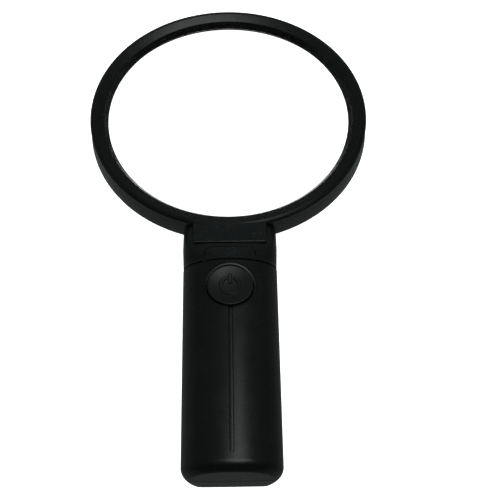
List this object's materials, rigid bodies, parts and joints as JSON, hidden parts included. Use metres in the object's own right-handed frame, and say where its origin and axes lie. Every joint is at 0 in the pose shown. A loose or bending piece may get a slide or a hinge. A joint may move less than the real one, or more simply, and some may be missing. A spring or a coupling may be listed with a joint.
{
  "type": "illuminated hand magnifier",
  "caption": "Large round hand magnifier for low vision, with a lit lens ring, a sloping neck, a push button on a crowned handle and a sliding battery door.",
  "frame": {"origin": "below the middle of the overall length, on the surface the magnifier lies on", "axes": "+Y from the handle's butt to the lens ring, +Z out of the front face with the button, X across"},
  "size_m": [0.1532, 0.2904, 0.022],
  "materials": {
    "shell_plastic": "satin black moulded ABS",
    "button_plastic": "satin black moulded ABS",
    "lens_acrylic": "polished clear acrylic",
    "seal_rubber": "soft black elastomer",
    "led_resin": "clear epoxy lamp body",
    "circuit_board": "green solder mask",
    "component_black": "black moulded component body",
    "plunger_plastic": "natural nylon",
    "tray_plastic": "plain black moulding",
    "cell_jacket": "printed shrink sleeve, plain two-colour",
    "spring_steel": "nickel plated wire",
    "nickel_plate": "nickel plated strip",
    "zinc_steel": "zinc plated",
    "black_steel": "black oxide",
    "wire_red": "PVC insulation",
    "wire_black": "PVC insulation"
  },
  "bodies": {
    "body": {"front_bezel": "shell_plastic", "head_housing": "shell_plastic", "lens": "lens_acrylic", "lens_gasket": "seal_rubber", "neck_tab": "shell_plastic", "led_left": "led_resin", "led_right": "led_resin", "led_board": "circuit_board", "led_board_screw": "zinc_steel", "led_resistors": "component_black", "handle_front_shell": "shell_plastic", "handle_rear_shell": "shell_plastic", "switch_housing": "component_black", "switch_spring": "spring_steel", "circuit_board": "circuit_board", "driver_parts": "component_black", "battery_tray": "tray_plastic", "battery_left": "cell_jacket", "battery_middle": "cell_jacket", "battery_right": "cell_jacket", "battery_springs": "spring_steel", "contact_plates": "nickel_plate", "case_screws": "black_steel", "tray_screws": "zinc_steel", "led_wire_red": "wire_red", "led_wire_black": "wire_black", "battery_wire_red": "wire_red", "battery_wire_black": "wire_black"},
    "button": {"button_cap": "button_plastic"},
    "plunger": {"switch_plunger": "plunger_plastic"},
    "door": {"battery_door": "shell_plastic"}
  },
  "joints": [
    {"name": "button_press", "type": "slide", "parent": "body", "child": "button", "axis": [0, 0, -1], "range_m": [0, 0.0008], "stiffness_N_per_m": 1500, "springref_m": -0.001},
    {"name": "plunger_press", "type": "slide", "parent": "body", "child": "plunger", "axis": [0, 0, -1], "range_m": [0, 0.0008], "deforming": ["switch_spring"]},
    {"name": "door_slide", "type": "slide", "parent": "body", "child": "door", "axis": [0, -1, 0], "range_m": [0, 0.076]}
  ],
  "couplings": [
    {"joint": "plunger_press", "follows": "button_press", "ratio": 1}
  ]
}
